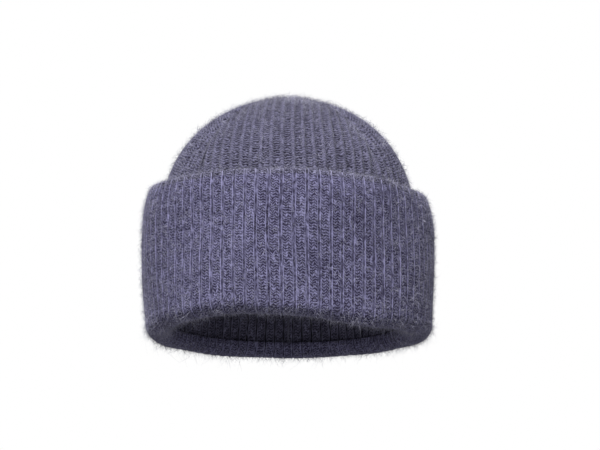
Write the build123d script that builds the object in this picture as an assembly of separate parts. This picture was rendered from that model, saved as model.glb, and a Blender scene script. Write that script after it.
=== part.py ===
"""Cuffed rib-knit beanie, in millimetres.

The hat stands upright on the fold of its cuff: +Z is up, -Y is the front and +X is the
wearer's left.  The origin is the middle of the opening, level with the lowest point of the
fold.  Every level section is an oval of one shape, so each ring and dome is first made round
about the Z axis and then drawn out front to back.
"""
from build123d import *
import os

# The oval
depth_ratio = 1.18          # front-to-back over side-to-side size of every level section

# The crown: half of an ellipsoid that stands on the head band
crown_half_width = 83.0
crown_base_z = 80.0
crown_rise = 77.0
ply = 5.0                   # thickness of one layer of the crown and head band

# The head band: the stretch of the tube that the turned-up cuff covers
band_start_z = 9.6
band_start_radius = 82.0
band_belly_radius = 87.3
band_belly_z = 45.0

# The cuff: the end of the tube, turned up outside the head band
cuff_ply = 6.0
cuff_outer_low = 94.5       # outer radius where the wall leaves the fold
cuff_outer_mid = 95.5
cuff_outer_top = 95.0
cuff_mid_z = 52.0
cuff_top_z = 92.0
welt_rise = 4.0             # height of the rounded cast-on edge above the wall

# The fold at the lower edge
opening_radius = 76.0
fold_round = 8.0            # radius of the two rounded corners of the fold
fold_leg_z = 9.25           # where both legs of the fold end
foot_trim = 0.5             # how much is cut level from the round foot of the fold

# Seams and labels
seam_width = 3.0
seam_sink = 0.8             # how far a crown seam lies below the outside of the knit
seam_ridge = 2.0            # how far a seam's selvedge stands out on its hidden side
closing_radius = 4.5        # the gathered spot where the crown seams meet
label_width = 24.0
label_low_z = 32.0
label_high_z = 70.0
label_ply = 0.6
label_stand_off = 2.4       # from the head band's inner face to the label's back ply
tack_radius = 0.6

far = 300.0                 # longer than anything in the hat
dart_angles = {"front_left": -45, "front_right": -135, "back_right": 135, "back_left": 45}
gore_angles = {
    "front": (-135, -45),
    "left": (-45, 45),
    "back_left": (45, 90),
    "back_right": (90, 135),
    "right": (135, 225),
}


def keep(node, shape):
    """Write one node's STEP file."""
    export_step(shape, f"parts/{node}.step")


def ring(outline):
    """A ring about the Z axis from a closed outline of (radius, height) edges."""
    return revolve(Plane.XZ * make_face(outline), Axis.Z)


def oval(shape):
    """Draw a round shape out front to back into the hat's oval."""
    return scale(shape, by=(1, depth_ratio, 1), about=(0, 0, 0))


def wedge(start_angle, end_angle):
    """A tall wedge about the Z axis between two angles."""
    corners = [(0, 0)]
    for angle in (start_angle, (start_angle + end_angle) / 2, end_angle):
        corner = Vector(far, 0).rotate(Axis.Z, angle)
        corners.append((corner.X, corner.Y))
    return Pos(0, 0, -far / 2) * extrude(make_face(Polyline(*corners, close=True)), far)


def seam_slab(angle, width=seam_width):
    """An upright slab, one seam wide, from the Z axis outwards at an angle."""
    return Rot(0, 0, angle) * Pos(far / 2, 0, 0) * Box(far, width, 2 * far)


# ---- Crown -------------------------------------------------------------------------------

def dome(radius):
    """A half ball that stands on the crown's base."""
    return Sphere(radius) & (Pos(0, 0, far / 2) * Box(far, far, far))


def place_crown(shape):
    """Flatten a round crown shape into the hat's dome and lift it onto the head band."""
    squash = crown_rise / crown_half_width
    return Pos(0, 0, crown_base_z) * scale(shape, by=(1, depth_ratio, squash), about=(0, 0, 0))


def crown_seam_angles():
    return list(dart_angles.values()) + [90]


def crown_gores():
    """The knit panels of the crown, parted by the seams and open at the gathered top."""
    shell = dome(crown_half_width) - dome(crown_half_width - ply)
    shell -= Cylinder(closing_radius, 2 * far)
    for angle in crown_seam_angles():
        shell -= seam_slab(angle)
    for name, (start_angle, end_angle) in gore_angles.items():
        keep(f"crown_gore_{name}", place_crown(shell & wedge(start_angle, end_angle)))


def crown_seams():
    """Linked seams: a furrow outside, and a ridge of selvedges inside."""
    band = dome(crown_half_width - seam_sink) - dome(crown_half_width - ply - seam_ridge)
    spot = Cylinder(closing_radius, 2 * far)
    for name, angle in dart_angles.items():
        keep(f"dart_seam_{name}", place_crown((band & seam_slab(angle)) - spot))
    keep("back_seam_crown", place_crown((band & seam_slab(90)) - spot))
    keep("crown_closing_stitch", place_crown(band & spot))


# ---- Head band ---------------------------------------------------------------------------

def band_side(depth):
    """The head band's side line, a depth inside its outer face."""
    return Spline(
        (band_start_radius - depth, band_start_z),
        (band_belly_radius - depth, band_belly_z),
        (crown_half_width - depth, crown_base_z),
        tangents=[(0.2, 1), (0, 1)],
    )


def band_layer(near, deep):
    """A ring between two depths inside the head band's outer face."""
    outer = band_side(near)
    inner = band_side(deep)
    foot = Line(inner @ 0, outer @ 0)
    head = Line(outer @ 1, inner @ 1)
    return ring([outer, head, inner, foot])


def head_band():
    """The covered tube of knit, with its back seam and the label that hangs inside."""
    slab = seam_slab(90)
    keep("head_band", oval(band_layer(0, ply) - slab))
    keep("back_seam_band", oval(band_layer(0, ply + seam_ridge) & slab))


def label_block(low_z, high_z):
    """The upright block that the label fills."""
    height = high_z - low_z
    return Pos(0, far / 2, low_z + height / 2) * Box(label_width, far, height)


def label_tack(side):
    """A long pin towards the back, one third of the label's width off centre."""
    pin = Cylinder(tack_radius, far, align=(Align.CENTER, Align.CENTER, Align.MIN))
    return Pos(side * label_width / 3, 0, label_high_z - 2.5) * Rot(-90, 0, 0) * pin


def care_label():
    """A blank folded label at the centre back, held at its top by two tacks."""
    back_face = ply + label_stand_off
    front_face = back_face + 3 * label_ply
    plies = band_layer(back_face, back_face + label_ply)
    plies += band_layer(front_face - label_ply, front_face)
    fold = band_layer(back_face, front_face) & label_block(label_low_z, label_low_z + 2 * label_ply)
    label = (plies & label_block(label_low_z, label_high_z)) + fold
    keep("care_label", oval(label))
    layer = band_layer(ply, back_face)
    keep("label_tacks", oval((layer & label_tack(-1)) + (layer & label_tack(1))))


# ---- Cuff --------------------------------------------------------------------------------

def cuff_side(depth):
    """The cuff wall's side line, a depth inside its outer face."""
    return ThreePointArc(
        (cuff_outer_low - depth, fold_leg_z),
        (cuff_outer_mid - depth, cuff_mid_z),
        (cuff_outer_top - depth, cuff_top_z),
    )


def cuff_wall():
    """The turned-up layer of knit and its back seam."""
    outer = cuff_side(0)
    inner = cuff_side(cuff_ply)
    wall = ring([outer, Line(outer @ 1, inner @ 1), inner, Line(inner @ 0, outer @ 0)])
    slab = seam_slab(90)
    keep("cuff_wall", oval(wall - slab))
    keep("back_seam_cuff", oval(wall & slab))


def cuff_edge_welt():
    """The rounded cast-on edge along the top of the cuff."""
    outer = (cuff_outer_top, cuff_top_z)
    inner = (cuff_outer_top - cuff_ply, cuff_top_z)
    crest = (cuff_outer_top - cuff_ply / 2, cuff_top_z + welt_rise)
    keep("cuff_edge_welt", oval(ring([Line(inner, outer), ThreePointArc(outer, crest, inner)])))


def cuff_fold():
    """The rounded lower edge, where the knit turns from the head band up into the cuff."""
    outer_leg = cuff_outer_low - cuff_ply
    inner_leg = opening_radius + cuff_ply
    hollow = (outer_leg - inner_leg) / 2
    outside = Polyline(
        (cuff_outer_low, fold_leg_z),
        (cuff_outer_low, -foot_trim),
        (opening_radius, -foot_trim),
        (opening_radius, fold_leg_z),
        (inner_leg, fold_leg_z),
    )
    pocket = CenterArc((inner_leg + hollow, fold_leg_z), hollow, 180, 180)
    rim = Line((outer_leg, fold_leg_z), (cuff_outer_low, fold_leg_z))
    face = make_face([outside, pocket, rim])
    low_corners = face.vertices().group_by(Axis.Y)[0]
    fold = oval(revolve(Plane.XZ * fillet(low_corners, fold_round), Axis.Z))
    keep("cuff_fold", fold - Pos(0, 0, -far / 2) * Box(far, far, far))


os.makedirs("parts", exist_ok=True)
crown_gores()
crown_seams()
head_band()
care_label()
cuff_wall()
cuff_edge_welt()
cuff_fold()
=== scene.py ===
"""Cuffed rib-knit beanie in brushed charcoal yarn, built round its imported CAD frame.

Shapes are worked out in millimetres and turned into metres when a mesh is made.  The knit is
one tube of rib: its right side shows on the crown and the head band, and its reverse side on
the turned-up cuff and inside the hat.  A place on it is (u, t): u is the share of the way
round, from the back seam towards the wearer's right, and t the share of a zone's side line.
"""
import math

import bpy
import numpy as np
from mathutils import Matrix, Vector


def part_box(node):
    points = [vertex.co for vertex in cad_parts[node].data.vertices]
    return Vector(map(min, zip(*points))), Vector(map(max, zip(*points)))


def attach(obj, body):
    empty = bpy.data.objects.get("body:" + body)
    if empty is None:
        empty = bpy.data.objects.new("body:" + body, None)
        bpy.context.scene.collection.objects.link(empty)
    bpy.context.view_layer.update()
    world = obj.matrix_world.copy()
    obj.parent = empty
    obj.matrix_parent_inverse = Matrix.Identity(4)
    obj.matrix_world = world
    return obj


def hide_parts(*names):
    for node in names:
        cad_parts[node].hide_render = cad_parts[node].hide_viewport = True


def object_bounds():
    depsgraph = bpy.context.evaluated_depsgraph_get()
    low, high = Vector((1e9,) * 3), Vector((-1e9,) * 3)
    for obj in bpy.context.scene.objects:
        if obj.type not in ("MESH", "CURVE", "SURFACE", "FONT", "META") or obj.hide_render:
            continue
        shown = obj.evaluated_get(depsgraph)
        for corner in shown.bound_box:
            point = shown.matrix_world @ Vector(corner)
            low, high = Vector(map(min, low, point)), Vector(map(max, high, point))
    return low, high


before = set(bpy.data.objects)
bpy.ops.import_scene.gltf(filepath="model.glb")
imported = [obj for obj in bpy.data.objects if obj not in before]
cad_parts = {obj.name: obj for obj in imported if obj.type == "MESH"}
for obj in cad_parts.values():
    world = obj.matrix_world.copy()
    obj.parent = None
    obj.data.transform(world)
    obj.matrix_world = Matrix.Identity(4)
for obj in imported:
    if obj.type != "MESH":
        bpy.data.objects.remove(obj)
cad_low, cad_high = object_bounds()

MM = 0.001
TURN = 2 * math.pi

# ---- Sizes from the frame, in millimetres --------------------------------------------------


def span(node, axis):
    """A CAD node's lowest and highest coordinate along an axis, in millimetres."""
    low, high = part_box(node)
    return low[axis] / MM, high[axis] / MM


oval_ratio = span("cuff_wall", 1)[1] / span("cuff_wall", 0)[1]
fold_radius = span("cuff_fold", 0)[1]
fold_leg_z = span("cuff_fold", 2)[1]
wall_radius = span("cuff_wall", 0)[1]
wall_top_z = span("cuff_wall", 2)[1]
welt_radius = span("cuff_edge_welt", 0)[1]
welt_top_z = span("cuff_edge_welt", 2)[1]
band_radius = span("head_band", 0)[1]
crown_base_z = span("head_band", 2)[1]
crown_radius = span("crown_gore_left", 0)[1]
crown_rise = cad_high.z / MM - crown_base_z

# ---- The knit ------------------------------------------------------------------------------

RIBS = 82                   # ribs round the hat
COURSE = 1.9                # height of one row of stitches
BODY_PLY = 5.0              # thickness of a layer of the crown and the head band
CUFF_PLY = 6.0              # thickness of a layer of the cuff and the fold
FOLD_WIDTH = 18.5           # of the fold, from the outside of the cuff to the opening
OPENING_RADIUS = fold_radius - FOLD_WIDTH
BAND_FOOT_RADIUS = OPENING_RADIUS + CUFF_PLY
FOLD_ROUND = 8.0            # radius of the fold's two rounded corners
EDGE_DRAW = 2.6             # how far the cuff's top edge is drawn in
CLOSING_RADIUS = 2.5        # where the gores end at the crown's middle
COLUMNS = 14                # mesh columns across one rib
CUFF_COLUMNS = 16           # the same on the cuff
RIDGE_DEPTH = 1.25          # relief of the right side
GROOVE_DEPTH = 0.75         # relief of the reverse side, on the outside of the cuff
LINING_DEPTH = 1.2          # relief of the reverse side, inside the crown
BAND_LINING_DEPTH = 1.6     # the same inside the head band
HIDDEN_RIDGE_DEPTH = 0.9    # relief of the right side, inside the cuff
FURROW_DEPTH = 1.2          # how far the crown sinks along a seam
FURROW_WIDTH = 2.4
MOST_SINK = 2.2             # where furrows meet they sink no further than this
DIMPLE_DEPTH = 1.6          # the hollow in the middle of the crown
DIMPLE_RADIUS = 7.0
TOP_NARROWING = 0.14        # how much narrower the ribs are at the top of a gore
RIDGE_HALF = 0.23           # half the width of a raised column, as a share of a rib
HOLLOW_RISE = 0.16          # how far a hollow's middle bulges, as a share of the relief
GROOVE_HALF = 0.13          # half the width of a groove of the reverse side
RIM_PLACE = 0.14            # how far a band's raised edge lies from the groove's middle
RIM_WIDTH = 0.06
RIM_SHARE = 0.38            # how much of the relief the raised edges take
SWAY = 0.10                 # how far the ribs wander sideways, in ribs
BILLOW = 0.7                # how far the fabric swells in and out, in millimetres
PLUMPNESS = 0.18            # how unevenly the ribs are raised
LONGEST_HAIR = 2.6          # the longest hair of a cloud, over its middling length
SLOPE_STEP = 0.004          # half the stretch of a side line that its direction is read from

BACK = 90                   # the back seam's angle from the +X axis, in degrees
SEAM_ANGLES = {"back_right": 135, "front_right": 225, "front_left": 315, "back_left": 405}
GORES = {                   # where each gore starts, ends and has its straightest rib
    "back_right": (90, 135, 90),
    "right": (135, 225, 180),
    "front": (225, 315, 270),
    "left": (315, 405, 360),
    "back_left": (405, 450, 450),
}


def oval_table():
    """Angles round the oval, from the back, and the share of its girth that each has passed."""
    angle = np.linspace(math.pi / 2, math.pi / 2 + TURN, 4001)
    step = np.hypot(np.diff(np.cos(angle)), oval_ratio * np.diff(np.sin(angle)))
    passed = np.concatenate([[0], np.cumsum(step)])
    return angle, passed / passed[-1], passed[-1]


OVAL_ANGLE, OVAL_SHARE, OVAL_GIRTH = oval_table()


def share_at(degrees):
    """The share of the girth passed at an angle from the +X axis, from 90 to 450 degrees."""
    return float(np.interp(math.radians(degrees), OVAL_ANGLE, OVAL_SHARE))


def place(radius, height, u):
    """Points in millimetres at a radius and height, a share u round the oval."""
    lap = np.floor(u)
    angle = np.interp(u - lap, OVAL_SHARE, OVAL_ANGLE)
    x = radius * np.cos(angle)
    y = oval_ratio * radius * np.sin(angle)
    return np.stack(np.broadcast_arrays(x, y, height), -1)


def waves(seed, count, most_round, most_up, reach):
    """A smooth random field over (u, height), about -1 to 1, that closes round the hat."""
    draw = np.random.default_rng(seed)
    turns = draw.integers(1, most_round + 1, count)
    climb = draw.uniform(-most_up, most_up, count)
    start = draw.uniform(0, TURN, count)
    weight = draw.uniform(0.5, 1, count)
    weight /= math.sqrt((weight**2).sum() / 2) * 1.5

    def field(u, height):
        total = 0
        for k in range(count):
            angle = TURN * (turns[k] * u + climb[k] * height / reach) + start[k]
            total = total + weight[k] * np.sin(angle)
        return total

    return field


sway = waves(3, 9, 14, 2.0, 100)
billow = waves(5, 7, 7, 1.2, 100)
plump = waves(7, 12, 60, 3.0, 100)


def smooth(value):
    """0 to 1 with soft ends."""
    value = np.clip(value, 0, 1)
    return value * value * (3 - 2 * value)


def rib_place(phase):
    """Distance across a rib from the middle of the knit column, -0.5 to 0.5."""
    return phase - np.round(phase)


def right_side(phase):
    """Height of the right side: round raised ridges between wider hollows."""
    x = np.abs(rib_place(phase))
    ridge = np.sqrt(np.clip(1 - (x / RIDGE_HALF) ** 2, 0, 1))
    across_hollow = np.clip((x - RIDGE_HALF) / (0.5 - RIDGE_HALF), 0, 1)
    hollow = HOLLOW_RISE * np.cos(across_hollow * math.pi)
    return np.where(x < RIDGE_HALF, HOLLOW_RISE + (1 - HOLLOW_RISE) * ridge, hollow)


def reverse_side(phase):
    """Height of the reverse side: wide flat bands with raised edges, parted by narrow grooves."""
    x = np.abs(rib_place(phase))
    rim = np.exp(-(((x - RIM_PLACE) / RIM_WIDTH) ** 2))
    return (1 - RIM_SHARE) * smooth(x / GROOVE_HALF) + RIM_SHARE * rim


def smooth_stretch(a, b, c, d):
    """Points on the smooth curve from b to c that heads for a and d (a Catmull-Rom spline)."""
    s = np.linspace(0, 1, 40, endpoint=False)[:, None]
    square = (2 * a - 5 * b + 4 * c - d) * s**2
    cube = (3 * b - a - 3 * c + d) * s**3
    return 0.5 * (2 * b + (c - a) * s + square + cube)


def side_line(points):
    """A smooth line through (radius, height) points, as a function of t from 0 to 1."""
    points = np.array(points, float)
    ends = np.vstack([2 * points[0] - points[1], points, 2 * points[-1] - points[-2]])
    fine = [smooth_stretch(*ends[k:k + 4]) for k in range(len(points) - 1)]
    fine = np.vstack(fine + [points[-1:]])
    length = np.concatenate([[0], np.cumsum(np.hypot(*np.diff(fine, axis=0).T))])

    def at(t):
        s = np.asarray(t) * length[-1]
        return np.interp(s, length, fine[:, 0]), np.interp(s, length, fine[:, 1])

    at.length = length[-1]
    return at


def straight_ribs(u, t):
    """The phase of ribs that run straight up the hat: a whole number on each knit column."""
    return RIBS * u + 0.5


def nothing(u, t):
    return 0.0


class Face:
    """One side of a knit zone: a side line swept round the hat, with the relief of its ribs.

    outward is 1 where the knit lies inside the line as it climbs, and -1 where it lies outside.
    start is the length of fabric before the line, so that rows of stitches run on from zone to
    zone.  sink lowers the face along its own normal, sag lowers it and pull draws it inwards.
    """

    def __init__(
        self, line, outward, relief, depth,
        start=0.0, phase=straight_ribs, sink=nothing, sag=nothing, pull=nothing,
    ):
        self.line = line
        self.outward = outward
        self.relief = relief
        self.depth = depth
        self.start = start
        self.phase = phase
        self.sink = sink
        self.sag = sag
        self.pull = pull

    def course(self, t):
        """The row of stitches that a place lies in, counted in fractions."""
        return (self.start + np.asarray(t) * self.line.length) / COURSE

    def normal(self, t):
        """Outward direction in (radius, height)."""
        low = np.clip(np.asarray(t) - SLOPE_STEP, 0, 1)
        high = np.clip(np.asarray(t) + SLOPE_STEP, 0, 1)
        r0, z0 = self.line(low)
        r1, z1 = self.line(high)
        size = np.hypot(r1 - r0, z1 - z0)
        return self.outward * (z1 - z0) / size, self.outward * (r0 - r1) / size

    def wander(self, u, t):
        """The ribs' own phase, with the small sideways drift of a hand-pulled fabric."""
        height = self.line(t)[1]
        return self.phase(u, t) + SWAY * sway(u, height)

    def lift(self, u, t):
        """Height above the bottom of the relief, 0 to about 1."""
        return self.relief(self.wander(u, t))

    def points(self, u, t, above=0.0):
        """Points on the face, or at a height above it, in millimetres."""
        radius, height = self.line(t)
        out_radius, out_height = self.normal(t)
        depth = self.depth * (1 + PLUMPNESS * plump(u, height))
        out = (self.lift(u, t) - 1) * depth - self.sink(u, t) + above
        radius = radius + BILLOW * billow(u, height) - self.pull(u, t) + out_radius * out
        return place(radius, height + out_height * out - self.sag(u, t), u)


# ---- Mesh tools ----------------------------------------------------------------------------


def mesh_object(name, points, quads, material, uv=None, side=None):
    """A mesh object in metres from points in millimetres.  uv is a pair of numbers for each
    corner; side is 1 at points on the knit's right side and 0 on its reverse side."""
    mesh = bpy.data.meshes.new(name)
    mesh.vertices.add(len(points))
    mesh.vertices.foreach_set("co", (np.asarray(points) * MM).astype(np.float32).ravel())
    mesh.loops.add(quads.size)
    mesh.loops.foreach_set("vertex_index", quads.astype(np.int32).ravel())
    mesh.polygons.add(len(quads))
    mesh.polygons.foreach_set("loop_start", np.arange(0, quads.size, 4, dtype=np.int32))
    mesh.polygons.foreach_set("use_smooth", np.ones(len(quads), bool))
    if uv is not None:
        layer = mesh.uv_layers.new(name="knit")
        layer.data.foreach_set("uv", uv.astype(np.float32).ravel())
    if side is not None:
        layer = mesh.attributes.new("side", "FLOAT", "POINT")
        layer.data.foreach_set("value", side.astype(np.float32).ravel())
    mesh.update(calc_edges=True)
    mesh.validate()
    mesh.materials.append(material)
    piece = bpy.data.objects.new(name, mesh)
    bpy.context.scene.collection.objects.link(piece)
    return piece


def grid_shell(name, points, uv, side, whole, material):
    """A closed skin over a grid of points (column, row).  Rows run once round the section;
    columns run round the hat, and either close on themselves or end in flat caps."""
    columns, rows = points.shape[0] - 1, points.shape[1]
    col, row = np.meshgrid(np.arange(columns), np.arange(rows), indexing="ij")
    nxt = (row + 1) % rows
    corner = np.stack([(col, row), (col + 1, row), (col + 1, nxt), (col, nxt)], 0)
    corner = corner.transpose(2, 3, 0, 1).reshape(-1, 4, 2)
    corner_uv = uv[corner[..., 0], corner[..., 1]]
    kept = columns if whole else columns + 1
    quads = (corner[..., 0] % kept) * rows + corner[..., 1]
    if not whole:
        k = np.arange(rows // 2 - 1)
        first = np.stack([k, k + 1, rows - 2 - k, rows - 1 - k], -1)
        last = first[:, ::-1] + columns * rows
        flat = uv.reshape(-1, 2)
        quads = np.vstack([quads, first, last])
        corner_uv = np.vstack([corner_uv, flat[first], flat[last]])
    if side is not None:
        side = side[:kept]
    piece = mesh_object(name, points[:kept].reshape(-1, 3), quads, material, corner_uv, side)
    piece.data.set_sharp_from_angle(angle=math.radians(80))
    return piece


def knit_shell(name, sides, u_range, columns, material):
    """A closed layer of knit.  sides is a list of (face, rows, t_start, t_end) that runs once
    round the layer's section; u_range is the stretch of the girth, a whole turn or less."""
    whole = abs(u_range[1] - u_range[0] - 1) < 1e-9
    u = np.linspace(u_range[0], u_range[1], columns + 1)[:, None]
    points, uv, side = [], [], []
    for face, rows, t_start, t_end in sides:
        t = np.linspace(t_start, t_end, rows)[None, :]
        points.append(face.points(u, t))
        uv.append(np.stack(np.broadcast_arrays(face.wander(u, t), face.course(t)), -1))
        side.append(np.full((columns + 1, rows), 1.0 if face.relief is right_side else 0.0))
    points, uv, side = (np.concatenate(parts, 1) for parts in (points, uv, side))
    return grid_shell(name, points, uv, side, whole, material)


def yarn(name, stretches, thickness, material):
    """Round yarn along smooth lines; each stretch is a row of points in millimetres."""
    curve = bpy.data.curves.new(name, "CURVE")
    curve.dimensions = "3D"
    curve.bevel_depth = thickness / 2 * MM
    curve.bevel_resolution = 2
    curve.resolution_u = 3
    curve.use_fill_caps = True
    for stretch in stretches:
        line = curve.splines.new("NURBS")
        line.points.add(len(stretch) - 1)
        for point, spot in zip(line.points, stretch):
            point.co = (*(np.asarray(spot) * MM), 1)
        line.order_u = 3
        line.use_endpoint_u = True
    curve.materials.append(material)
    piece = bpy.data.objects.new(name, curve)
    bpy.context.scene.collection.objects.link(piece)
    return piece


def belongs(piece, body, slot, *nodes):
    """A finished piece rides on its body and stands for its nodes; slot is not used."""
    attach(piece, body)
    if nodes:
        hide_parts(*nodes)
    return piece


def knit_sheet(line):
    """Reads the radius along a knit layer's middle line and keeps nothing.  line is the middle of
    the layer."""
    radius = line(np.linspace(0, 1, 60))[0]


def strands(name, roots, out, seed, length, width, material, droop):
    """Loose fibres: thin tapering ribbons that leave the knit at roots and curl away along out.
    droop lets their tips hang, as a share of their length."""
    steps = 3
    draw = np.random.default_rng(seed)
    count = len(roots)
    along = draw.normal(size=(count, 3))
    along -= (along * out).sum(1, keepdims=True) * out
    along /= np.linalg.norm(along, axis=1, keepdims=True)
    across = np.cross(out, along)
    tilt = draw.uniform(0.15, 1.3, (count, 1, 1))
    curl = draw.normal(0, 0.55, (count, 1, 1))
    t = np.linspace(0, 1, steps)[None, :, None]
    reach = length[:, None, None]
    path = roots[:, None] + reach * (
        out[:, None] * (t - 0.32 * tilt * t**2)
        + along[:, None] * tilt * t**1.5
        + across[:, None] * curl * t**2
    )
    path[..., 2] -= droop * length[:, None] * t[..., 0] ** 2
    step = np.gradient(path, axis=1)
    side = np.cross(step, draw.normal(size=(count, 1, 3)))
    side /= np.linalg.norm(side, axis=2, keepdims=True) + 1e-9
    half = 0.5 * width * (1 - 0.85 * t**1.5)
    points = np.stack([path - side * half, path + side * half], 2).reshape(-1, 3)
    base = (np.arange(count) * steps * 2)[:, None] + np.arange(steps - 1)[None, :] * 2
    quads = np.stack([base, base + 1, base + 3, base + 2], -1).reshape(-1, 4)
    return mesh_object(name, points, quads, material)


# ---- Materials -----------------------------------------------------------------------------


class Graph:
    """A short way to write a material's nodes.  Each call adds one node and returns its output."""

    def __init__(self, name):
        self.material = bpy.data.materials.new(name)
        self.material.use_nodes = True
        self.tree = self.material.node_tree
        self.shader = self.tree.nodes["Principled BSDF"]

    def feed(self, socket, value):
        """Link an output to a socket, or set the socket to a constant."""
        if hasattr(value, "links"):
            self.tree.links.new(value, socket)
        elif value is not None:
            socket.default_value = value

    def math(self, operation, a, b=None, c=None):
        node = self.tree.nodes.new("ShaderNodeMath")
        node.operation = operation
        for socket, value in zip(node.inputs, (a, b, c)):
            self.feed(socket, value)
        return node.outputs[0]

    def noise(self, where, scale, detail=2.0):
        node = self.tree.nodes.new("ShaderNodeTexNoise")
        self.feed(node.inputs["Vector"], where)
        node.inputs["Scale"].default_value = scale
        node.inputs["Detail"].default_value = detail
        return node.outputs["Fac"]

    def stretch(self, where, amount, turn):
        """A place scaled and turned, so that a noise runs along one direction."""
        node = self.tree.nodes.new("ShaderNodeMapping")
        self.feed(node.inputs["Vector"], where)
        node.inputs["Scale"].default_value = amount
        node.inputs["Rotation"].default_value = turn
        return node.outputs[0]

    def spread(self, value, low, high, to_low=0.0, to_high=1.0):
        """value carried from one range to another, and held inside it."""
        node = self.tree.nodes.new("ShaderNodeMapRange")
        for socket, number in zip(node.inputs, (value, low, high, to_low, to_high)):
            self.feed(socket, number)
        return node.outputs[0]

    def wave(self, value):
        """Soft rows, one to each whole step of value: 0 between rows and 1 on their crests."""
        return self.spread(self.math("SINE", self.math("MULTIPLY", value, TURN)), -0.45, 0.85)

    def hump(self, value, middle, width):
        """1 where value is at middle, falling smoothly to 0 a width away."""
        away = self.math("ABSOLUTE", self.math("SUBTRACT", value, middle))
        node = self.tree.nodes.new("ShaderNodeMapRange")
        node.interpolation_type = "SMOOTHSTEP"
        for socket, number in zip(node.inputs, (away, 0.0, width, 1.0, 0.0)):
            self.feed(socket, number)
        return node.outputs[0]

    def mix(self, share, a, b):
        node = self.tree.nodes.new("ShaderNodeMix")
        node.data_type = "RGBA"
        self.feed(node.inputs[0], share)
        self.feed(node.inputs[6], a)
        self.feed(node.inputs[7], b)
        return node.outputs[2]

    def place(self):
        """The place in the object, in metres."""
        return self.tree.nodes.new("ShaderNodeTexCoord").outputs["Object"]

    def side(self):
        """1 on the knit's right side and 0 on its reverse side."""
        node = self.tree.nodes.new("ShaderNodeAttribute")
        node.attribute_name = "side"
        return node.outputs["Fac"]

    def knit_place(self):
        """The rib and the row of stitches that a place lies in, both counted in fractions."""
        node = self.tree.nodes.new("ShaderNodeUVMap")
        node.uv_map = "knit"
        split = self.tree.nodes.new("ShaderNodeSeparateXYZ")
        self.tree.links.new(node.outputs[0], split.inputs[0])
        return split.outputs[0], split.outputs[1]

    def bump(self, height, strength, distance):
        node = self.tree.nodes.new("ShaderNodeBump")
        node.inputs["Strength"].default_value = strength
        node.inputs["Distance"].default_value = distance
        self.feed(node.inputs["Height"], height)
        self.tree.links.new(node.outputs[0], self.shader.inputs["Normal"])

    def finish(self, colour, roughness, sheen=0.0, sheen_roughness=0.5, tint=(1, 1, 1, 1)):
        self.feed(self.shader.inputs["Base Color"], colour)
        self.feed(self.shader.inputs["Roughness"], roughness)
        self.shader.inputs["Specular IOR Level"].default_value = 0.15
        self.shader.inputs["Sheen Weight"].default_value = sheen
        self.shader.inputs["Sheen Roughness"].default_value = sheen_roughness
        self.shader.inputs["Sheen Tint"].default_value = tint
        return self.material


def knit_material(name, dark, light, bloom):
    """Brushed rib knit: stitch columns, rows, melange colour and loose surface fibre.
    bloom is how pale its short fibres look where the knit turns away."""
    g = Graph(name)
    phase, course = g.knit_place()
    side = g.side()
    where = g.place()
    across = g.math("FRACT", phase)
    x = g.math("PINGPONG", across, 0.5)
    lump = g.noise(where, 380, 1.0)
    patch = g.noise(where, 42, 2.0)
    strand = g.noise(g.stretch(where, (1.0, 1.0, 0.5), (0.5, 0.2, 0.3)), 620, 1.0)
    fleck = g.noise(g.stretch(where, (1.0, 1.0, 0.4), (0.1, 0.8, 0.5)), 480, 1.0)
    rows_moved = g.math("MULTIPLY_ADD", lump, 1.6, course)
    # Reverse side: three slanted stitches zigzag across each band.
    zigzag = g.math("PINGPONG", g.spread(across, 0.17, 0.83, 0.0, 3.0), 1.0)
    in_leg = g.spread(g.math("PINGPONG", zigzag, 0.5), 0.02, 0.22, 0.50, 1.0)
    slanted = g.wave(g.math("MULTIPLY_ADD", zigzag, 0.65, rows_moved))
    slanted = g.math("MULTIPLY", slanted, in_leg)
    on_band = g.spread(x, 0.15, 0.21)
    # Painted highlight: the raised edges of the bands are painted paler.
    rim = g.hump(x, 0.125, 0.065)
    reverse = g.math("MULTIPLY_ADD", g.math("MULTIPLY", slanted, on_band), 0.68, 0.03)
    reverse = g.math("MULTIPLY_ADD", rim, g.spread(strand, 0.35, 0.65, 0.55, 1.20), reverse)
    in_groove = g.hump(x, 0.0, 0.09)
    reverse = g.math("MULTIPLY_ADD", in_groove, g.spread(lump, 0.3, 0.7, 0.05, 0.50), reverse)
    # Right side: plain raised columns, and hollows crossed by short level dashes and painted
    # darker as shade.
    level = g.wave(g.math("MULTIPLY_ADD", g.math("PINGPONG", x, 0.25), 1.6, rows_moved))
    hollow_shade_and_dashes = g.spread(x, 0.13, 0.23)
    right = g.math("MULTIPLY_ADD", hollow_shade_and_dashes, -0.42, 0.38)
    dashes = g.math("MULTIPLY", level, g.spread(hollow_shade_and_dashes, 0.0, 1.0, 0.44, 0.86))
    right = g.math("ADD", right, dashes)
    # Both sides: uneven tone, pale flecks, and a fine bump of stitches and strands.
    shade = g.math("MULTIPLY_ADD", g.math("SUBTRACT", right, reverse), side, reverse)
    shade = g.math("ADD", shade, g.spread(strand, 0.3, 0.7, -0.20, 0.20))
    shade = g.math("ADD", shade, g.spread(patch, 0.3, 0.7, -0.07, 0.07))
    shade = g.math("ADD", shade, g.spread(fleck, 0.58, 0.74, 0.0, 0.55))
    colour = g.mix(g.math("MINIMUM", g.math("MAXIMUM", shade, 0.0), 1.0), dark, light)
    stitches = g.math("MULTIPLY_ADD", g.math("SUBTRACT", level, slanted), side, slanted)
    height = g.math("MULTIPLY_ADD", stitches, 0.8, g.math("MULTIPLY", strand, 0.4))
    g.bump(height, 0.6, 0.0005)
    rough = g.spread(strand, 0.3, 0.7, 0.82, 0.98)
    return g.finish(colour, rough, bloom, 0.25, (0.78, 0.79, 0.88, 1))


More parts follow.
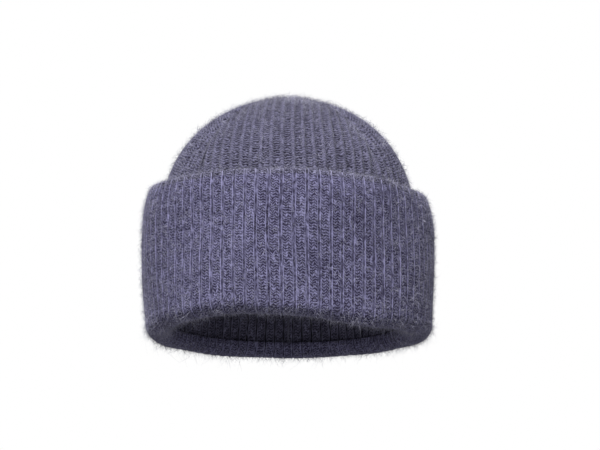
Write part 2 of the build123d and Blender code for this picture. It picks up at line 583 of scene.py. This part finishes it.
def fibre_material(name, dark, light):
    """Loose fibre, some hairs paler than others."""
    g = Graph(name)
    tone = g.noise(g.place(), 90, 1.0)
    return g.finish(g.mix(g.spread(tone, 0.3, 0.7), dark, light), 0.85, 0.2)


def yarn_material(name, dark, light):
    """Twisted sewing yarn: fine slanting plies in two tones."""
    g = Graph(name)
    where = g.place()
    ply_lines = g.noise(g.stretch(where, (1.0, 1.0, 2.5), (0.6, 0.4, 0.2)), 1400, 2.0)
    g.bump(ply_lines, 0.7, 0.0003)
    return g.finish(g.mix(g.spread(ply_lines, 0.35, 0.65), dark, light), 0.9, 0.25)


def satin_material(name, dark, light):
    """Woven satin: fine cross threads with a soft gloss and slightly uneven tone."""
    g = Graph(name)
    across, up = g.knit_place()
    weft = g.math("SINE", g.math("MULTIPLY", up, TURN * 3.2))
    warp = g.math("SINE", g.math("MULTIPLY", across, TURN * 2.4))
    weave = g.math("MULTIPLY_ADD", g.math("MULTIPLY", weft, warp), 0.5, 0.5)
    g.bump(weave, 0.5, 0.00008)
    uneven = g.spread(g.noise(g.place(), 60, 2.0), 0.3, 0.7, 0.0, 0.4)
    tone = g.math("ADD", g.math("MULTIPLY", weave, 0.6), uneven)
    return g.finish(g.mix(tone, dark, light), g.spread(weave, 0.0, 1.0, 0.55, 0.38), 0.1)


def floor_material():
    """Matte pale paper with a barely uneven tone."""
    g = Graph("pale_floor")
    tone = g.noise(g.place(), 3, 3.0)
    g.bump(g.noise(g.place(), 400, 2.0), 0.15, 0.0005)
    return g.finish(g.mix(tone, (0.54, 0.54, 0.55, 1), (0.59, 0.59, 0.60, 1)), 0.9)


knit_dark = (0.018, 0.016, 0.031, 1)
# The crown's knit, also used on the head band, is a darker copy of the same yarn: painted shade
# that tones down the top of the hat, which the lamps light from above.
crown_knit_painted_shade = knit_material("crown_knit_painted_shade", knit_dark, (0.162, 0.157, 0.245, 1), 0.38)
cuff_knit = knit_material("cuff_knit", (0.020, 0.017, 0.040, 1), (0.215, 0.207, 0.350, 1), 0.12)
# The edge's knit is a paler copy of the same yarn: a painted highlight along the cuff's top edge.
edge_knit_painted_highlight = knit_material("edge_knit_painted_highlight", knit_dark, (0.270, 0.262, 0.400, 1), 0.3)
loose_fibre = fibre_material("loose_fibre", (0.10, 0.098, 0.145, 1), (0.42, 0.415, 0.52, 1))
seam_yarn = yarn_material("seam_yarn", (0.055, 0.053, 0.085, 1), (0.14, 0.135, 0.20, 1))
label_thread = yarn_material("label_thread", (0.5, 0.5, 0.52, 1), (0.75, 0.75, 0.76, 1))
label_satin = satin_material("label_satin", (0.62, 0.62, 0.62, 1), (0.86, 0.86, 0.85, 1))

# ---- Crown ---------------------------------------------------------------------------------

CROWN_ROWS = 100            # mesh rows up the crown
crown_end = math.acos(CLOSING_RADIUS / crown_radius)


def crown_line(inset):
    """The crown's side line, a depth inside its outer face."""
    wide = crown_radius - inset
    tall = crown_rise - inset
    arc = []
    for k in range(25):
        slope = crown_end * k / 24
        arc.append((wide * math.cos(slope), crown_base_z + tall * math.sin(slope)))
    return side_line(arc)


def gore_phase(middle):
    """The phase of ribs that run up a gore side by side, parallel to its middle line."""
    centre = share_at(middle)

    def phase(u, t):
        slope = np.asarray(t) * crown_end
        narrow = np.cos(slope) / (1 - TOP_NARROWING * np.sin(slope) ** 2)
        return RIBS * ((u - centre) * narrow + centre) + 0.5

    return phase


def seam_sink(u, t):
    """The furrows along the crown's seams and the dimple where they meet."""
    reach = crown_radius * OVAL_GIRTH * np.cos(np.asarray(t) * crown_end)
    depth = 0.0
    fade = 0.25 + 0.75 * smooth(np.asarray(t) * 4)
    for degrees in list(SEAM_ANGLES.values()) + [BACK, BACK + 360]:
        away = (u - share_at(degrees)) * reach
        depth = depth + FURROW_DEPTH * fade * np.exp(-((away / FURROW_WIDTH) ** 2))
    radius = crown_radius * np.cos(np.asarray(t) * crown_end)
    dimple = DIMPLE_DEPTH * np.exp(-((radius / DIMPLE_RADIUS) ** 2))
    return np.minimum(depth, MOST_SINK) + dimple


def lining_sink(u, t):
    """The same furrows on the crown's inner face, which looks the other way."""
    return -seam_sink(u, t)


def crown_gores():
    """The five knit panels of the crown."""
    for name, (start, end, middle) in GORES.items():
        phase = gore_phase(middle)
        outside = Face(
            crown_line(0), 1, right_side, RIDGE_DEPTH, phase=phase, sink=seam_sink)
        inside = Face(
            crown_line(BODY_PLY), -1, reverse_side, LINING_DEPTH, phase=phase, sink=lining_sink)
        u_range = (share_at(start), share_at(end))
        share = u_range[1] - u_range[0]
        columns = round(share * RIBS * COLUMNS)
        sides = [(outside, CROWN_ROWS, 0, 1), (inside, CROWN_ROWS, 1, 0)]
        piece = knit_shell(f"gore_{name}", sides, u_range, columns, crown_knit_painted_shade)
        belongs(piece, "cap", "knit_crown", f"crown_gore_{name}")
        knit_sheet(crown_line(BODY_PLY / 2))


# ---- Head band -----------------------------------------------------------------------------


def band_line(inset):
    """The head band's side line, nearly straight so that the cuff slides down over it."""
    return side_line([
        (BAND_FOOT_RADIUS - inset, fold_leg_z),
        (BAND_FOOT_RADIUS + 0.3 - inset, fold_leg_z + 16),
        (band_radius - 2.6 - inset, (fold_leg_z + crown_base_z) / 2 + 2),
        (crown_radius + 1.0 - inset, crown_base_z - 16),
        (crown_radius - inset, crown_base_z),
    ])


def band_pull(u, t):
    """The band is drawn in a little where the cuff's top edge leans on it."""
    ends = smooth(4 * np.asarray(t)) * smooth(6 * (1 - np.asarray(t)))
    return 2.4 * near(u, BACK, 0.15) * ends


def head_band():
    """The part of the tube that the cuff covers; its inside is returned."""
    outside = Face(band_line(0), 1, right_side, RIDGE_DEPTH, pull=band_pull)
    inside = Face(band_line(BODY_PLY), -1, reverse_side, BAND_LINING_DEPTH, pull=band_pull)
    sides = [(outside, 40, 0, 1), (inside, 40, 1, 0)]
    piece = knit_shell("head_band_knit", sides, (0, 1), RIBS * COLUMNS, crown_knit_painted_shade)
    belongs(piece, "cap", "knit_crown", "head_band")
    knit_sheet(band_line(BODY_PLY / 2))
    return inside


# ---- Cuff ----------------------------------------------------------------------------------


def near(u, degrees, width):
    """A soft bump round one direction, 1 at its middle; width is a share of the girth."""
    away = (u - share_at(degrees) + 0.5) % 1 - 0.5
    return np.exp(-((away / width) ** 2))


def hang(u):
    """How much lower than level the fold hangs, in millimetres."""
    return 4.0 * near(u, 308, 0.07) - 2.2 * near(u, 240, 0.08) + 0.5 * billow(2 * u, 0)


def dip(u):
    """How much lower than level the cuff's top edge lies, in millimetres."""
    return 2.6 + 3.8 * near(u, 338, 0.13) - 2.4 * near(u, 185, 0.09) + 0.4 * billow(2 * u, 50)


def tuck(u):
    """How far the fold is drawn in towards the head, in millimetres."""
    return 1.6 * near(u, 180, 0.12)


def lean(u):
    """How far the cuff's top edge leans in towards the crown, in millimetres."""
    return 3.0 * near(u, BACK, 0.11)


def wall_sag(u, t):
    """How far the wall hangs low: with the fold at its foot and with its own edge at its top."""
    return hang(u) * (1 - np.asarray(t)) ** 1.5 + dip(u) * np.asarray(t) ** 2


def wall_pull(u, t):
    """How far the wall is drawn in, at its foot and at its top."""
    return tuck(u) * (1 - np.asarray(t)) ** 3 + lean(u) * np.asarray(t) ** 4


def fold_sag(u, t):
    """The fold hangs low on the outside only; t runs from the wall to the head band."""
    return hang(u) * (1 - smooth((np.asarray(t) - 0.55) / 0.45))


def fold_pull(u, t):
    """The fold is drawn in on the outside only."""
    return tuck(u) * (1 - smooth((np.asarray(t) - 0.4) / 0.6))


def wall_line(inset):
    """The cuff wall's side line, from the fold up to the welt."""
    return side_line([
        (fold_radius - inset, fold_leg_z),
        (fold_radius + 0.75 - inset, fold_leg_z + 20),
        (wall_radius - inset, (fold_leg_z + wall_top_z) / 2),
        (wall_radius - 0.3 - inset, wall_top_z - 18),
        (welt_radius - 0.9 - inset, wall_top_z - 7),
        (welt_radius - EDGE_DRAW - inset, wall_top_z),
    ])


def fold_line(inset):
    """From the wall's foot down round the fold and up to the head band's foot."""
    radius = FOLD_ROUND - min(inset, 4.7)
    out_x = fold_radius - FOLD_ROUND
    in_x = OPENING_RADIUS + FOLD_ROUND
    arc = [(out_x + radius, fold_leg_z)]
    for k in range(7):
        turn = math.radians(90 * k / 6)
        arc.append((out_x + radius * math.cos(turn), FOLD_ROUND - radius * math.sin(turn)))
    for k in range(7):
        turn = math.radians(90 - 90 * k / 6)
        arc.append((in_x - radius * math.cos(turn), FOLD_ROUND - radius * math.sin(turn)))
    arc.append((in_x - radius, fold_leg_z))
    return side_line(arc)


def cuff_face(line, outward, relief, depth):
    """A face of the cuff's wall."""
    return Face(line, outward, relief, depth, sag=wall_sag, pull=wall_pull)


def fold_face(line, outward, relief, depth, start=0.0):
    """A face of the fold."""
    return Face(line, outward, relief, depth, start, sag=fold_sag, pull=fold_pull)


def cuff_wall():
    """The turned-up layer; its outside is returned."""
    outside = cuff_face(wall_line(0), 1, reverse_side, GROOVE_DEPTH)
    inside = cuff_face(wall_line(CUFF_PLY), -1, right_side, HIDDEN_RIDGE_DEPTH)
    sides = [(outside, 58, 0, 1), (inside, 14, 1, 0)]
    piece = knit_shell("cuff_wall_knit", sides, (0, 1), RIBS * CUFF_COLUMNS, cuff_knit)
    belongs(piece, "cuff", "knit_cuff", "cuff_wall")
    knit_sheet(wall_line(CUFF_PLY / 2))
    return outside


def cuff_fold():
    """The rounded lower edge, where the knit turns up; its outside is returned."""
    line = fold_line(0)
    outside = fold_face(line, -1, reverse_side, GROOVE_DEPTH, start=-line.length)
    inside = fold_face(fold_line(CUFF_PLY), 1, right_side, HIDDEN_RIDGE_DEPTH)
    sides = [(outside, 26, 1, 0), (inside, 12, 0, 1)]
    piece = knit_shell("cuff_fold_knit", sides, (0, 1), RIBS * CUFF_COLUMNS, cuff_knit)
    belongs(piece, "cuff", "knit_cuff", "cuff_fold")
    knit_sheet(fold_line(CUFF_PLY / 2))
    return outside


def welt_relief(phase):
    """The cast-on edge: small bumps, two to a rib, that follow the ribs below."""
    return 0.55 * reverse_side(phase) + 0.45 * np.abs(np.sin(TURN * phase))


def wall_top_sag(u, t):
    """The welt hangs as low as the wall's top."""
    return dip(u)


def wall_top_pull(u, t):
    """The welt leans in with the wall's top."""
    return lean(u)


def cuff_welt():
    """The rounded cast-on edge along the top of the cuff; its outside is returned."""
    middle = welt_radius - EDGE_DRAW - CUFF_PLY / 2
    rise = welt_top_z - wall_top_z
    arc = []
    for k in range(9):
        turn = math.pi * k / 8
        arc.append((middle + CUFF_PLY / 2 * math.cos(turn), wall_top_z + rise * math.sin(turn)))
    outside = Face(
        side_line(arc), 1, welt_relief, 1.0,
        start=wall_line(0).length, sag=wall_top_sag, pull=wall_top_pull,
    )
    piece = knit_shell("cuff_welt", [(outside, 12, 0, 1)], (0, 1), RIBS * CUFF_COLUMNS, edge_knit_painted_highlight)
    belongs(piece, "cuff", "knit_cuff", "cuff_edge_welt")
    return outside


# ---- Loose fibre ---------------------------------------------------------------------------


def scatter(face, seed, count, t_range):
    """Random places on a face, in millimetres, with the outward direction at each."""
    draw = np.random.default_rng(seed)
    u = draw.uniform(0, 1, count)
    t = draw.uniform(*t_range, count)
    roots = face.points(u, t, -0.2)
    out = face.points(u, t, 1.0) - roots
    return roots, out / np.linalg.norm(out, axis=1, keepdims=True)


def fuzz(name, face, body, seed, count, length, width, droop=0.0, t_range=(0, 1)):
    """A cloud of loose fibre on a face; most hairs are short and a few are long.  length is
    about the middling length, and length and width are in millimetres."""
    roots, out = scatter(face, seed, count, t_range)
    draw = np.random.default_rng(seed + 1)
    lengths = length * (0.45 + draw.gamma(2.0, 0.35, count))
    lengths = np.minimum(lengths, LONGEST_HAIR * length)
    piece = strands(name, roots, out, seed + 2, lengths, width, loose_fibre, droop)
    return belongs(piece, body, "knit_cuff" if body == "cuff" else "knit_crown")


# ---- Seams ---------------------------------------------------------------------------------

SEAM_STITCH = 2.1           # length of one stitch of linking yarn
SEAM_REACH = 0.9            # how far a stitch reaches to each side of the seam


def laced(face, u, t_range, reach, above):
    """Points that zigzag along a seam, one for each stitch, reach to each side."""
    stitches = round(face.line.length * abs(t_range[1] - t_range[0]) / SEAM_STITCH)
    t = np.linspace(t_range[0], t_range[1], stitches)
    radius = face.line(t)[0]
    swing = np.where(np.arange(stitches) % 2, reach, -reach) / (radius * OVAL_GIRTH)
    return face.points(u + swing, t, above)


def seam(name, node, face, degrees, t_range, body):
    """Two linking yarns that cross back and forth over a seam."""
    u = share_at(degrees)
    over = laced(face, u, t_range, SEAM_REACH, 0.25)
    under = laced(face, u, t_range, -SEAM_REACH, 0.1)
    belongs(yarn(name, [over, under], 0.75, seam_yarn), body, "seam_yarn", node)


def crown_seams(face):
    """The four dart seams and the back seam, up to the closing stitch."""
    for name, degrees in SEAM_ANGLES.items():
        seam(f"seam_{name}", f"dart_seam_{name}", face, degrees, (0, 0.985), "cap")
    seam("seam_back", "back_seam_crown", face, BACK, (0, 0.985), "cap")


def closing_stitch():
    """A flat spiral of yarn, bound with short cross stitches, over the gathered crown."""
    top = crown_base_z + crown_rise - 2.6
    turn = np.linspace(0, 3.5 * TURN, 60)
    radius = 0.4 + 3.4 * turn / turn[-1]
    spiral = np.stack([radius * np.cos(turn), radius * np.sin(turn), top - 0.03 * radius**2], -1)
    stretches = [spiral]
    for k in range(5):
        way = TURN * k / 5
        reach = np.array([0.3, 2.0, 3.6, 5.0])
        rise = np.array([0.9, 1.0, 0.6, -0.6])
        stretches.append(np.stack([reach * math.cos(way), reach * math.sin(way), top + rise], -1))
    piece = yarn("closing_stitch", stretches, 0.9, seam_yarn)
    belongs(piece, "cap", "seam_yarn", "crown_closing_stitch")


# ---- Label ---------------------------------------------------------------------------------

LABEL_PLY = 0.35            # thickness of the satin
LABEL_THICKNESS = 1.7       # of the folded label, with the air between its plies
LABEL_SHIFT = 3.9           # how far forward of the CAD it lies, as the band is drawn in there
LABEL_BOW = 0.0072          # how strongly it follows the curve of the band behind it
LABEL_SWING = 3.0           # how far its foot swings away from the band
LABEL_RIPPLE = 0.35         # how far it waves to and fro


def label_section(back_y, foot, head):
    """The folded label's outline from the side, as (y, z) points once round its two plies."""
    drop = np.linspace(head, foot + 1, 16)
    outer = [(back_y, z) for z in drop]
    for turn in np.linspace(0, math.pi, 7)[1:-1]:
        y = back_y + LABEL_THICKNESS / 2 * (math.cos(turn) - 1)
        outer.append((y, foot + 1 - math.sin(turn)))
    outer += [(back_y - LABEL_THICKNESS, z) for z in drop[::-1]]
    outer = np.array(outer)
    step = np.gradient(outer, axis=0)
    step /= np.linalg.norm(step, axis=1, keepdims=True)
    inner = outer + LABEL_PLY * np.stack([step[:, 1], -step[:, 0]], -1)
    return np.vstack([outer, inner[::-1]])


def label():
    """A blank satin label, folded at its foot, that hangs at the centre back and swings away
    from the band towards its foot."""
    low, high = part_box("care_label")
    half = high.x / MM
    back_y = high.y / MM - LABEL_SHIFT
    foot, head = low.z / MM, high.z / MM
    section_y, height = label_section(back_y, foot, head).T[:, None, :]
    across = np.linspace(-half, half, 25)[:, None]
    hanging = (head - height) / (head - foot)
    y = section_y - LABEL_BOW * across**2 - LABEL_SWING * hanging
    y = y - LABEL_RIPPLE * np.sin(across / 5 + height / 9) * hanging
    along = height + 60 * (section_y < back_y - 1)
    points = np.stack(np.broadcast_arrays(across, y, height), -1)
    uv = np.stack(np.broadcast_arrays(across, along), -1)
    piece = grid_shell("satin_label", points, uv, None, False, label_satin)
    belongs(piece, "cap", "label_satin", "care_label")


def label_tacks():
    """Two short bar tacks that catch the label's top corners."""
    low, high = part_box("care_label")
    turns = 13
    bars = []
    for side in (-1, 1):
        middle = side * high.x / MM * 0.66
        x = middle + np.linspace(-2.4, 2.4, turns)
        y = high.y / MM - LABEL_SHIFT - 2.0 - LABEL_BOW * x**2
        z = high.z / MM - 2.5 + np.where(np.arange(turns) % 2, 0.7, -0.7)
        bars.append(np.stack([x, y, z], -1))
    belongs(yarn("label_bar_tacks", bars, 0.45, label_thread), "cap", "seam_yarn", "label_tacks")


# ---- The hat -------------------------------------------------------------------------------

crown_gores()
band_inside = head_band()
cuff_outside = cuff_wall()
fold_outside = cuff_fold()
welt_outside = cuff_welt()
fuzz("cuff_halo", cuff_outside, "cuff", 25, 24000, 2.0, 0.15)
fuzz("fold_halo", fold_outside, "cuff", 31, 8000, 1.9, 0.14, droop=0.2)
fuzz("fold_long_hairs", fold_outside, "cuff", 35, 2600, 3.4, 0.11, droop=0.3, t_range=(0.0, 0.65))
fuzz("welt_halo", welt_outside, "cuff", 37, 9000, 1.6, 0.14)
crown_outside = Face(crown_line(0), 1, right_side, RIDGE_DEPTH, sink=seam_sink)
crown_seams(crown_outside)
closing_stitch()
seam("seam_cuff", "back_seam_cuff", cuff_outside, BACK, (0.0, 1.0), "cuff")
seam("seam_band", "back_seam_band", band_inside, BACK, (0.02, 0.98), "cap")
label()
label_tacks()
fuzz("crown_halo", crown_outside, "cap", 45, 34000, 2.2, 0.15)

# ---- Light, floor and camera ---------------------------------------------------------------

FLOOR_Z = -0.38             # in metres
SKY_LIGHT = 0.30            # how strongly the surroundings light the hat
CAMERA_RISE = -9.7          # in degrees: the camera is below the hat's middle
CAMERA_DISTANCE = 2.4       # in metres


def studio():
    """White surroundings that give a dim even light."""
    world = bpy.data.worlds.new("studio")
    bpy.context.scene.world = world
    world.use_nodes = True
    tree = world.node_tree
    back = tree.nodes["Background"]
    path = tree.nodes.new("ShaderNodeLightPath")
    level = tree.nodes.new("ShaderNodeMapRange")
    level.inputs["To Min"].default_value = SKY_LIGHT
    level.inputs["To Max"].default_value = 1.0
    tree.links.new(path.outputs["Is Camera Ray"], level.inputs["Value"])
    tree.links.new(level.outputs[0], back.inputs["Strength"])
    back.inputs["Color"].default_value = (1, 1, 1, 1)


def sun(name, spot, strength, spread):
    """A soft, far lamp that shines from a spot's direction, so that all is lit evenly."""
    lamp = bpy.data.lights.new(name, "SUN")
    lamp.energy = strength
    lamp.angle = math.radians(spread)
    light = bpy.data.objects.new(name, lamp)
    light.location = spot
    light.rotation_euler = (-Vector(spot)).to_track_quat("-Z", "Y").to_euler()
    bpy.context.scene.collection.objects.link(light)


def camera():
    """A long lens below the hat, looking up at its front by about ten degrees."""
    rise = math.radians(CAMERA_RISE)
    aim = Vector((0.0079, 0, 0.0745))
    back = Vector((0, -math.cos(rise), math.sin(rise)))
    data = bpy.data.cameras.new("camera")
    data.lens = 220
    data.clip_start = 0.01
    cam = bpy.data.objects.new("camera", data)
    cam.location = aim + back * CAMERA_DISTANCE
    cam.rotation_euler = (-back).to_track_quat("-Z", "Y").to_euler()
    bpy.context.scene.collection.objects.link(cam)
    bpy.context.scene.camera = cam


def floor():
    """A wide round floor, low enough for the camera that looks up at the hat."""
    bpy.ops.mesh.primitive_circle_add(
        vertices=96, radius=9, fill_type="NGON", location=(0, 0, FLOOR_Z))
    ground = bpy.context.object
    ground.name = "floor"
    ground.data.materials.append(floor_material())
    ground.visible_diffuse = False


studio()
floor()
sun("key", (-0.38, -1.9, 1.65), 4.6, 24)
sun("back", (0.6, 1.8, 1.2), 1.2, 60)
sun("bounce", (-0.2, -0.9, -1.6), 0.45, 90)
camera()
bpy.context.scene.view_settings.view_transform = "Standard"
